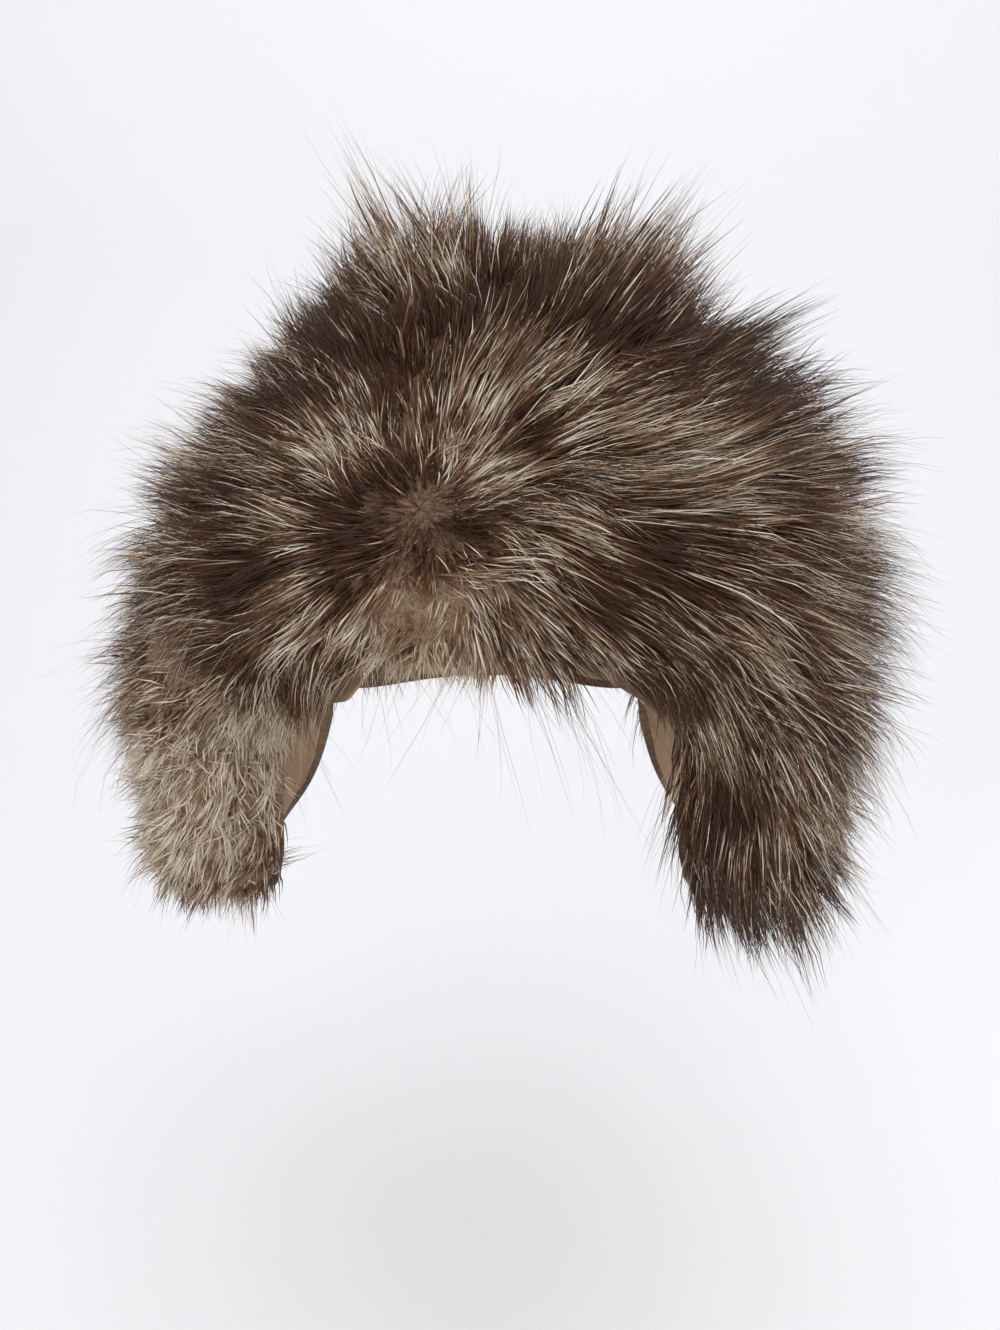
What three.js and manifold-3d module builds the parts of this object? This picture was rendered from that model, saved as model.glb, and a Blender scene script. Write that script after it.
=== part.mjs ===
// A fur hat with an ear flap on each side, kept in the form that it has when it is worn.
// Millimetres, +Z up. The front faces -Y, so +X is the wearer's left side.
// The origin is the inside of the crown at its top, where the hat rests on the head.
// A place on the hat is a turn round it, from the front towards the wearer's left, and a depth below its top.

import * as THREE from 'three';
import { mergeVertices } from 'three/addons/utils/BufferGeometryUtils.js';
import Module from 'manifold-3d';

const wasm = await Module();
wasm.setup();

// The hollow that the head fills, an egg shape with straight walls below its widest place
const HALF_WIDTH = 77;
const HALF_LENGTH = 97;
const DOME_HEIGHT = 78;

// The pelt's skin, and the clearance between pieces that touch
const SKIN = 2;
const GAP = 0.3;

// The lower edge of the crown, as depths below the top: it arches up over the brow, between two turns in degrees
const BROW_DEPTH = 50;
const SIDE_DEPTH = 72;
const ARCH_START = 16;
const ARCH_END = 50;

// The ear flaps and the nape piece: how far down they reach, and where their edges are, in degrees of turn
const FLAP_DEPTH = 142;
const FLAP_FRONT_EDGE = 50;
const FLAP_BACK_EDGE = 128;
const FLAP_TAPER = 8;
const FLAP_CORNER = 26;
const NAPE_DEPTH = 112;
const NAPE_CORNER = 14;

// How far the tips of the fur stand off the skin, in each direction
const FUR_TOP = 82;
const FUR_BROW = 24;
const FUR_BACK = 56;
const FUR_LEFT = 76;
const FUR_RIGHT = 57;
const FLAP_FUR_LEFT = 66;
const FLAP_FUR_RIGHT = 54;
const NAPE_FUR = 46;

// How far along the skin the longest hair lies over
const HAIR_SWEEP = 62;

// The close fur under the locks, as a share of how far the tips stand off, and how far it covers the cut edges
const CLOSE_FUR = 0.76;
const EDGE_FUR = 7;

// How steeply the crown's fur falls over the fur of the flaps, and how steeply it rises off the brow
const OVERHANG_SLOPE = 0.42;
const BROW_SLOPE = -0.3;

// How much the fur of a flap thins towards its sides and its hem, and how much the hair of the brow is shorter
const SIDE_THINNING = 0.4;
const HEM_THINNING = 0.35;
const BROW_SWEEP = 0.5;

// How uneven the locks are, in place and in height, and how much of a flap's width their roots keep to
const UNEVEN_PLACE = 0.25;
const UNEVEN_HEIGHT = 0.1;
const ROOT_SPAN = 0.88;

// Where the hair parts, on the front of the crown a little to the wearer's right
const WHORL_TURN = -10;
const WHORL_DEPTH = 21;

// A lock of fur: half its width and thickness at the root, and how it is divided. It leaves its root inside the
// close fur, bends where it has most of its height and a share of its sweep, and its taper is fullest when near 0.
const LOCK_HALF_WIDTH = 24;
const LOCK_HALF_THICKNESS = 12;
const LOCK_SIDES = 5;
const LOCK_STEPS = 3;
const LOCK_ROOT = 0.7;
const LOCK_BEND = { rise: 0.9, sweep: 0.3 };
const LOCK_TAPER = 0.75;

// How finely the round forms are divided
const TURN_STEPS = 28;
const DOME_ROWS = 7;

// Rows of locks on the crown, from its top to its lower edge. place is the share of the way down, first the turn of
// the first lock in degrees, rise a share of the fur's height there, and sweep a share of the hair's sweep.
const CROWN_ROWS = [
  { place: 0.06, count: 3, first: 100, rise: 1, sweep: 0.55, size: 0.85 },
  { place: 0.23, count: 8, first: 20, rise: 1, sweep: 0.8, size: 1 },
  { place: 0.45, count: 12, first: 0, rise: 1, sweep: 1, size: 1 },
  { place: 0.68, count: 16, first: 10, rise: 1, sweep: 1, size: 1 },
  { place: 0.9, count: 18, first: 0, rise: 1, sweep: 0.8, size: 0.95 },
];

// Rows of locks on a flap, from its top to its hem, with their tips carried down by sweep
const FLAP_ROWS = [
  { place: 0.06, count: 4, rise: 1, sweep: 0.9, size: 0.9 },
  { place: 0.32, count: 5, rise: 0.98, sweep: 0.87, size: 0.9 },
  { place: 0.58, count: 4, rise: 0.86, sweep: 0.87, size: 0.9 },
  { place: 0.84, count: 4, rise: 0.62, sweep: 0.75, size: 0.9 },
];

// Rows of locks on the nape piece
const NAPE_ROWS = [
  { place: 0.15, count: 6, rise: 1, sweep: 0.74, size: 0.9 },
  { place: 0.7, count: 5, rise: 0.85, sweep: 0.68, size: 0.9 },
];

const { degToRad, lerp, smoothstep } = THREE.MathUtils;

// The lowest point that any cut has to pass, the farthest out, and a distance well inside the hollow's wall
const LOWEST = FLAP_DEPTH + FUR_TOP;
const FARTHEST = 2 * (FUR_TOP + FUR_LEFT);
const INSIDE = -HALF_WIDTH / 4;

// Maps a depth below the top to the angle along the dome, which goes on straight down past its widest place.
function angleAt(depth) {
  if (depth < DOME_HEIGHT) return Math.acos(1 - depth / DOME_HEIGHT);
  return Math.PI / 2 + depth / DOME_HEIGHT - 1;
}

function depthAt(angle) {
  if (angle < Math.PI / 2) return DOME_HEIGHT * (1 - Math.cos(angle));
  return DOME_HEIGHT * (1 + angle - Math.PI / 2);
}

// The direction straight out of the hollow's wall.
function outward(turn, depth) {
  const angle = Math.min(angleAt(depth), Math.PI / 2);
  return new THREE.Vector3(
    Math.sin(angle) * Math.sin(turn) / HALF_WIDTH,
    -Math.sin(angle) * Math.cos(turn) / HALF_LENGTH,
    Math.cos(angle) / DOME_HEIGHT,
  ).normalize();
}

// A point that stands a distance off the hollow's wall.
function hatPoint(turn, depth, distance) {
  const ring = Math.sin(Math.min(angleAt(depth), Math.PI / 2));
  const wall = new THREE.Vector3(HALF_WIDTH * ring * Math.sin(turn), -HALF_LENGTH * ring * Math.cos(turn), -depth);
  return wall.addScaledVector(outward(turn, depth), distance);
}

// A share that is 0 in front, over the brow, and 1 round the sides and the back.
function pastBrow(turn) {
  const away = Math.abs(Math.atan2(Math.sin(turn), Math.cos(turn)));
  return smoothstep(away, degToRad(ARCH_START), degToRad(ARCH_END));
}

// The depth of the crown's lower edge: the brow's arch, then level.
function crownEdge(turn) {
  return lerp(BROW_DEPTH, SIDE_DEPTH, pastBrow(turn));
}

// A height with one value in front, behind and on each side, which changes smoothly between them.
function roundTheHat(turn, front, left, back, right) {
  const ahead = Math.cos(turn);
  const aside = Math.sin(turn);
  return ahead ** 2 * (ahead > 0 ? front : back) + aside ** 2 * (aside > 0 ? left : right);
}

function crownFurHeight(turn, place) {
  const edge = roundTheHat(turn, FUR_BROW, FUR_LEFT, FUR_BACK, FUR_RIGHT);
  return lerp(FUR_TOP, edge, smoothstep(place, 0, 0.5));
}

// Repeatable unevenness between -1 and 1, so that no two locks are quite alike.
function uneven(index, salt) {
  return Math.sin(index * 12.99 + salt * 78.23) * Math.cos(index * 4.14 + salt * 2.71);
}

// Moves each vertex of a geometry to where place puts it, and makes a solid of it, its shared vertices joined.
function bend(geometry, place) {
  const position = geometry.attributes.position;
  for (let i = 0; i < position.count; i++) {
    const point = place(position.getX(i), position.getY(i), position.getZ(i));
    position.setXYZ(i, point.x, point.y, point.z);
  }
  geometry.deleteAttribute('normal');
  geometry.deleteAttribute('uv');
  const joined = mergeVertices(geometry, 1e-4);
  return new wasm.Manifold(new wasm.Mesh({
    numProp: 3,
    vertProperties: new Float32Array(joined.attributes.position.array),
    triVerts: new Uint32Array(joined.index.array),
  }));
}

// A round solid with level rings from the bottom to the top, closed on the axis at both ends.
function rings(count, ringPoint) {
  const profile = [new THREE.Vector2(0, 0)];
  for (let ring = 0; ring < count; ring++) profile.push(new THREE.Vector2(1, ring));
  profile.push(new THREE.Vector2(0, count - 1));
  return bend(new THREE.LatheGeometry(profile, TURN_STEPS), (x, y, z) => {
    const point = ringPoint(Math.atan2(x, z), Math.round(y));
    return Math.hypot(x, z) > 0.5 ? point : new THREE.Vector3(0, 0, point.z);
  });
}

// A filled dome whose surface stands a height off the hollow's wall, open below at the lowest cut.
function dome(heightAt) {
  return rings(DOME_ROWS + 1, (turn, ring) => {
    const depth = ring === 0 ? LOWEST : depthAt((DOME_ROWS + 1 - ring) / DOME_ROWS * Math.PI / 2);
    return hatPoint(turn, depth, heightAt(turn, depth));
  });
}

// Everything above the crown's lower edge, which falls away outwards where the fur hangs over the flaps.
function aboveEdge(lowered) {
  return rings(3, (turn, ring) => {
    const distance = ring === 0 ? INSIDE : FARTHEST;
    const point = hatPoint(turn, DOME_HEIGHT, distance);
    const slope = lerp(BROW_SLOPE, OVERHANG_SLOPE, pastBrow(turn));
    point.z = ring === 2 ? FARTHEST : -crownEdge(turn) - lowered - slope * distance;
    return point;
  });
}

// A block of the space round the hat, with across, down and out running from 0 to 1.
function block(acrossSteps, downSteps, corner) {
  const box = new THREE.BoxGeometry(1, 1, 1, acrossSteps, downSteps, 1);
  return bend(box, (x, y, z) => corner(x + 0.5, 0.5 - y, z + 0.5));
}

// Everything behind the flaps.
function behindFlaps(widened) {
  const edge = degToRad(FLAP_BACK_EDGE) - widened / HALF_WIDTH;
  return block(8, 1, (across, down, out) => {
    const turn = lerp(edge, 2 * Math.PI - edge, across);
    const point = hatPoint(turn, DOME_HEIGHT, lerp(INSIDE, FARTHEST, out));
    point.z = lerp(FARTHEST, -LOWEST, down);
    return point;
  });
}

const leftFlap = {
  from: degToRad(FLAP_FRONT_EDGE),
  to: degToRad(FLAP_BACK_EDGE),
  taper: degToRad(FLAP_TAPER),
  depth: FLAP_DEPTH,
  corner: FLAP_CORNER,
  fur: FLAP_FUR_LEFT,
  rows: FLAP_ROWS,
};
const rightFlap = { ...leftFlap, from: -leftFlap.to, to: -leftFlap.from, fur: FLAP_FUR_RIGHT };
const nape = {
  from: degToRad(FLAP_BACK_EDGE),
  to: degToRad(360 - FLAP_BACK_EDGE),
  taper: 0,
  depth: NAPE_DEPTH,
  corner: NAPE_CORNER,
  fur: NAPE_FUR,
  rows: NAPE_ROWS,
};

// A place on a flap or on the nape piece, whose sides taper and whose lower corners are round.
function placeOn(piece, across, down, top, grown) {
  const middle = (piece.from + piece.to) / 2;
  const half = (piece.to - piece.from) / 2 - piece.taper * down + grown / HALF_WIDTH;
  const aside = 2 * across - 1;
  const hem = piece.depth + grown - piece.corner * Math.abs(aside) ** 5;
  return { turn: middle + half * aside, depth: lerp(top, hem, down) };
}

// The space that a flap's skin lies in, which starts above the crown's edge.
function skinSpace(piece) {
  return block(10, 3, (across, down, out) => {
    const { turn, depth } = placeOn(piece, across, down, BROW_DEPTH / 2, 0);
    return hatPoint(turn, depth, lerp(-2, 3, out) * SKIN);
  });
}

// The close fur of a flap or of the nape piece, which thins towards its edges and covers them.
function closeFur(piece) {
  return block(8, 5, (across, down, out) => {
    const { turn, depth } = placeOn(piece, across, down, BROW_DEPTH, EDGE_FUR);
    const thinned = (1 - SIDE_THINNING * (2 * across - 1) ** 4) * (1 - HEM_THINNING * down ** 4);
    const height = CLOSE_FUR * piece.fur * thinned;
    return hatPoint(turn, depth, out > 0.5 ? height : -SKIN);
  });
}

// One lock: a flat tapering cone that rises out of the close fur and lies over towards its tip.
function lock(turn, depth, rise, sweep, size) {
  const curve = new THREE.QuadraticBezierCurve3(
    hatPoint(turn, depth, rise * CLOSE_FUR * LOCK_ROOT),
    hatPoint(turn, depth, rise * LOCK_BEND.rise).addScaledVector(sweep, LOCK_BEND.sweep),
    hatPoint(turn, depth, rise).add(sweep),
  );
  const side = new THREE.Vector3().crossVectors(outward(turn, depth), sweep).normalize();
  return bend(new THREE.ConeGeometry(1, 1, LOCK_SIDES, LOCK_STEPS), (x, y, z) => {
    const along = y + 0.5;
    const fullness = along < 1 ? (1 - along) ** (LOCK_TAPER - 1) * size : 0;
    const flat = new THREE.Vector3().crossVectors(side, curve.getTangent(along));
    return curve.getPoint(along)
      .addScaledVector(side, x * fullness * LOCK_HALF_WIDTH)
      .addScaledVector(flat, z * fullness * LOCK_HALF_THICKNESS);
  });
}

// The way the hair lies on the crown: away from the whorl, along the skin.
function hairFlow(turn, depth) {
  const whorl = hatPoint(degToRad(WHORL_TURN), WHORL_DEPTH, 0);
  const away = hatPoint(turn, depth, 0).sub(whorl);
  const up = outward(turn, depth);
  return away.addScaledVector(up, -away.dot(up)).normalize();
}

function crownLocks() {
  return CROWN_ROWS.flatMap((row, level) => Array.from({ length: row.count }, (_, i) => {
    const turn = degToRad(row.first + (i + UNEVEN_PLACE * uneven(i, level)) / row.count * 360);
    const edgeAngle = angleAt(crownEdge(turn));
    const depth = depthAt(row.place * edgeAngle);
    const rise = crownFurHeight(turn, row.place) * row.rise * (1 + UNEVEN_HEIGHT * uneven(i, level + 7));
    const shorter = roundTheHat(turn, BROW_SWEEP, 1, 1, 1);
    const sweep = hairFlow(turn, depth).multiplyScalar(row.sweep * HAIR_SWEEP * shorter);
    return lock(turn, depth, rise, sweep, row.size);
  }));
}

function pieceLocks(piece) {
  return piece.rows.flatMap((row, level) => Array.from({ length: row.count }, (_, i) => {
    const share = (i + 0.5 + UNEVEN_PLACE * uneven(i, level)) / row.count;
    const across = 0.5 + ROOT_SPAN * (share - 0.5);
    const { turn, depth } = placeOn(piece, across, row.place, SIDE_DEPTH, 0);
    const rise = piece.fur * row.rise * (1 + UNEVEN_HEIGHT * uneven(i, level + 7));
    return lock(turn, depth, rise, new THREE.Vector3(0, 0, -row.sweep * HAIR_SWEEP), row.size);
  }));
}

const hollow = dome(() => 0);
const skinSurface = dome(() => SKIN);
const furRoots = dome(() => SKIN + GAP);
const skinWall = skinSurface.subtract(hollow);
const above = aboveEdge(0);
const aboveWithGap = aboveEdge(GAP);
const behind = behindFlaps(0);
const behindWithGap = behindFlaps(GAP);

// Keeps the outer skin of a solid, so that the pockets sealed in between its locks are filled.
function filled(shape) {
  return shape.decompose().sort((one, other) => other.volume() - one.volume())[0];
}

const crownClose = dome((turn, depth) => {
  const place = Math.min(angleAt(depth) / angleAt(crownEdge(turn)), 1);
  return CLOSE_FUR * crownFurHeight(turn, place);
});
const crownFur = filled(wasm.Manifold.union([crownClose, ...crownLocks()]).subtract(furRoots).intersect(above));

function pieceSkin(piece) {
  return skinWall.intersect(skinSpace(piece)).subtract(aboveWithGap);
}

function pieceFur(piece) {
  return wasm.Manifold.union([closeFur(piece), ...pieceLocks(piece)]).subtract(furRoots).subtract(aboveWithGap);
}

const leftSkin = pieceSkin(leftFlap).subtract(behindWithGap);
const rightSkin = pieceSkin(rightFlap).subtract(behindWithGap);
const napeSkin = pieceSkin(nape).intersect(behind);
const leftFur = filled(pieceFur(leftFlap).subtract(behindWithGap));
const rightFur = filled(pieceFur(rightFlap).subtract(behindWithGap));
const napeFur = filled(pieceFur(nape).intersect(behind));

// Materials: brown fur with silvery hair, and the suede side of the pelt
const fur = new THREE.MeshStandardMaterial({ color: 0x5a4a3e, roughness: 0.85, metalness: 0 });
const suede = new THREE.MeshStandardMaterial({ color: 0xb89f80, roughness: 0.95, metalness: 0 });

function piece(name, shape, material) {
  const { vertProperties, triVerts } = shape.getMesh();
  const geometry = new THREE.BufferGeometry();
  geometry.setAttribute('position', new THREE.BufferAttribute(vertProperties, 3));
  geometry.setIndex(new THREE.BufferAttribute(triVerts, 1));
  geometry.computeVertexNormals();
  const mesh = new THREE.Mesh(geometry, material);
  mesh.name = name;
  return mesh;
}

const group = new THREE.Group();
group.add(
  piece('crown_skin', skinWall.intersect(above), suede),
  piece('left_flap_skin', leftSkin, suede),
  piece('right_flap_skin', rightSkin, suede),
  piece('nape_skin', napeSkin, suede),
  piece('crown_fur', crownFur, fur),
  piece('left_flap_fur', leftFur, fur),
  piece('right_flap_fur', rightFur, fur),
  piece('nape_fur', napeFur, fur),
);

export default group;
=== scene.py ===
# Dresses the fur hat: the suede side of its pelt, the close fur, and the long guard hair combed over it.
# Shapes are worked out in millimetres, +Z up, the front facing -Y, and put into the meshes in metres.
# A place on the hat is a turn round it, from the front to the wearer's left, and a depth below its top.

import math

import bpy
import numpy as np
from bpy.props import FloatProperty, FloatVectorProperty, PointerProperty
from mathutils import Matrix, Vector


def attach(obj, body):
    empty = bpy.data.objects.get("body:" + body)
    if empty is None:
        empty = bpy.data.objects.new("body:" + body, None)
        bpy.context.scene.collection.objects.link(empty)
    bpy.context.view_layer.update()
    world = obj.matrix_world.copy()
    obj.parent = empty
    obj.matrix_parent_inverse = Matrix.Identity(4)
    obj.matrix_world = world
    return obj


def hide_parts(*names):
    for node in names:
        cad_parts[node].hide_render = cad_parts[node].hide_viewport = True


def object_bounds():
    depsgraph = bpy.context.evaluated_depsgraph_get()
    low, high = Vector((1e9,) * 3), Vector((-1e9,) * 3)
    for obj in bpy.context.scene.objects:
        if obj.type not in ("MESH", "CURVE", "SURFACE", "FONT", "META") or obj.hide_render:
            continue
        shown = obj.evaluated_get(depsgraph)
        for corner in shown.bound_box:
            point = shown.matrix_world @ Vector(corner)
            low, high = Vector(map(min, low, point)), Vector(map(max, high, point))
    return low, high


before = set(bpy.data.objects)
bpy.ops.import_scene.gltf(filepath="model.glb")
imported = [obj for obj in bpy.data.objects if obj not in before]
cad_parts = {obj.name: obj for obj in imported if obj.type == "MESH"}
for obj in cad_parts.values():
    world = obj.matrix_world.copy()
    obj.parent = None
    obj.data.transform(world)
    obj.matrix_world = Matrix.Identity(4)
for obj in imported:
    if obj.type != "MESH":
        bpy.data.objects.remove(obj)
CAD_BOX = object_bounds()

bl_info = {
    "name": "Fur Hat Dressing",
    "version": (1, 0, 0),
    "blender": (4, 5, 0),
    "location": "3D View > Sidebar > Fur Hat",
    "description": "Dresses the frame of a fur hat with ear flaps in suede, close fur and guard hair",
    "category": "Object",
}

MM = 0.001
DOWN = np.array((0.0, 0.0, -1.0))

# The hollow of the hat, its skin, and its edges, as in the part's source
HALF_WIDTH = 77
HALF_LENGTH = 97
DOME_HEIGHT = 78
ROOTS = 2.3
BROW_DEPTH = 50
SIDE_DEPTH = 72
ARCH = (math.radians(16), math.radians(50))
FLAP_EDGES = (math.radians(50), math.radians(128))
FLAP_TAPER = math.radians(8)
FLAP_DEPTH = 142
FLAP_CORNER = 26
NAPE_DEPTH = 112
NAPE_CORNER = 14
EDGE_FUR = 7
OVERHANG_SLOPE = 0.42
BROW_SLOPE = -0.3

# How far the hair's tips stand off the skin
LOFT_TOP = 82
LOFT_BROW = 24
LOFT_BACK = 56
LOFT_LEFT = 76
LOFT_RIGHT = 57
FLAP_LOFT_LEFT = 66
FLAP_LOFT_RIGHT = 54
NAPE_LOFT = 46

# The close fur under the guard hair, as a share of the loft: deeper where the hair over it is short
CLOSE_SHARE = 0.62
CLOSE_SHARE_RIGHT = 0.68
CLOSE_SHARE_NAPE = 0.7

# How far past the solids' box the hair may stand, as a share of each side and a length
STAND_SHARE = 0.03
STAND_PROUD = 9

# Where the hair parts, on the front of the crown
WHORL_TURN = math.radians(-10)
WHORL_DEPTH = 21

# How far to either side of the brow's middle its fringe grows
FRINGE_TURN = math.radians(48)

# The lift and mess in degrees, and the lengths on the crown and at the hems, of hair that the camera misses
UNSEEN_LIFT = 36
UNSEEN_MESS = 12
UNSEEN_LENGTH = 58
UNSEEN_HEM_LENGTH = 36

# How far below the hat's top gravity starts to draw the hair down, over what height it grows, and its most
CROWN_HANG = 10
FLAP_HANG = -40
HANG_RISE = 70
HANG_MOST = 0.9

# How far under the close fur hair starts, the places tried for each hair, and the points compared at a time
ROOT_DEPTH = 1.5
TRIES_PER_HAIR = 6
BLOCK = 2000

# Rows and columns of the close fur's surfaces
CROWN_GRID = (33, 96)
FLAP_GRID = (21, 33)

# The camera, in millimetres, degrees and pixels of the 1000 x 1330 frame
CAMERA_PLACE = np.array((6.0, -366.0, 46.0))
CAMERA_PITCH = math.radians(-19)
FOCAL_PIXELS = 1073
FRAME_CENTRE = np.array((500.0, 665.0))
FRAME_HEIGHT = 1330
SENSOR = 36

# The hair as it is combed: lift off the skin and mess in degrees, length in millimetres, and then strokes,
# each with its place in the frame and its heading in degrees, 0 to the right and 90 up.
COMBING = (
    # The right side of the crown, fanning out from the parting
    (20, 42, 7, (
        (470, 420, 58), (505, 385, 38), (545, 335, 35), (640, 360, 16), (560, 420, 12), (640, 430, 7),
        (520, 470, -4), (600, 480, -20), (680, 480, -8), (540, 520, -41), (620, 540, -31))),
    (25, 54, 7, (
        (720, 380, 11), (730, 450, 3), (820, 450, 0), (760, 520, -14), (700, 560, -23), (850, 560, -20),
        (790, 590, -34), (870, 500, -6))),
    (22, 36, 8, ((452, 492, 12), (460, 520, -22), (472, 500, 0), (450, 548, -34), (448, 470, 40))),
    (18, 30, 8, ((398, 500, 176), (392, 530, 190), (388, 556, 206), (402, 478, 130))),
    (15, 40, 7, (
        (500, 560, -30), (560, 590, -40), (640, 610, -33), (720, 630, -36), (800, 660, -50),
        (470, 575, -22), (480, 610, -58))),
    (12, 24, 10, ((500, 630, -56), (550, 650, -40), (610, 665, -32), (660, 685, -36))),
    (28, 50, 10, ((750, 700, -52), (820, 710, -62), (860, 640, -50))),
    (32, 62, 10, ((885, 600, -32), (890, 650, -38), (870, 630, -40), (880, 560, -20))),
    # The top, in two tufts
    (38, 66, 9, (
        (600, 300, 34), (650, 260, 42), (700, 290, 32), (760, 330, 24), (800, 385, 14), (570, 240, 52),
        (620, 220, 46), (690, 230, 36))),
    (34, 66, 9, ((720, 300, 32), (745, 330, 26), (740, 290, 32), (780, 350, 22))),
    (34, 60, 9, (
        (375, 295, 133), (362, 250, 136), (378, 215, 134), (405, 275, 132), (435, 262, 130),
        (400, 235, 134), (455, 285, 124))),
    (20, 22, 12, ((490, 262, 96), (500, 235, 88), (520, 265, 72), (480, 300, 84))),
    (20, 26, 12, (
        (365, 350, 108), (400, 330, 98), (440, 335, 74), (490, 330, 46), (340, 385, 114), (260, 350, 146),
        (240, 390, 160), (305, 310, 138), (215, 420, 165))),
    # Beside the parting
    (15, 26, 8, ((405, 440, 98), (412, 395, 88), (358, 447, 112), (329, 457, 127), (440, 470, 66))),
    (8, 12, 30, ((428, 505, 80), (440, 520, 310), (415, 530, 230), (425, 545, 275))),
    # The left side of the crown
    (17, 36, 8, (
        (281, 466, 165), (272, 521, 172), (262, 555, 200), (272, 587, 212), (253, 623, 210),
        (319, 629, 234), (348, 638, 248), (340, 530, 176), (350, 570, 200), (340, 600, 226))),
    (22, 38, 10, (
        (224, 495, 178), (214, 543, 187), (224, 581, 198), (205, 428, 172), (186, 456, 175),
        (157, 514, 190), (176, 539, 196), (150, 480, 178))),
    (18, 31, 16, (
        (166, 571, 214), (138, 619, 226), (186, 619, 222), (128, 678, 236), (176, 678, 232),
        (225, 640, 214), (120, 640, 232))),
    # The bare patch over the brow, its fuzz hanging
    (12, 7, 22, (
        (400, 610, 265), (440, 620, 272), (470, 640, 284), (405, 575, 250), (430, 560, 290),
        (455, 600, 285), (385, 610, 250), (440, 590, 275), (420, 635, 268))),
    (10, 22, 14, (
        (420, 672, 268), (378, 672, 262), (352, 680, 256), (400, 672, 265), (450, 672, 275),
        (480, 672, 283), (520, 674, 292), (565, 680, 300), (612, 692, 306), (590, 686, 304),
        (435, 674, 272), (500, 674, 288), (540, 678, 296))),
    # The flap on the left of the view
    (17, 18, 25, (
        (205, 669, 240), (147, 736, 229), (138, 764, 232), (195, 755, 236), (243, 717, 260),
        (258, 745, 292), (300, 697, 282), (281, 678, 248), (224, 774, 250), (176, 793, 246),
        (205, 812, 254), (243, 831, 284), (176, 850, 234), (224, 860, 256), (292, 750, 306))),
    (14, 21, 18, ((205, 893, 264), (268, 870, 282), (285, 815, 300), (250, 895, 266), (165, 890, 255))),
    # The flap on the right of the view
    (18, 38, 10, (
        (700, 720, 264), (710, 762, 262), (740, 740, 292), (780, 740, 300), (830, 740, 294),
        (858, 760, 286), (710, 813, 267), (758, 799, 280), (808, 785, 284), (850, 799, 280))),
    (16, 40, 10, ((738, 855, 262), (794, 855, 270), (831, 855, 278), (705, 890, 262), (700, 850, 264))),
    (18, 56, 10, ((780, 912, 278), (836, 905, 288), (820, 880, 284), (845, 870, 284), (740, 912, 268))),
)

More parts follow.
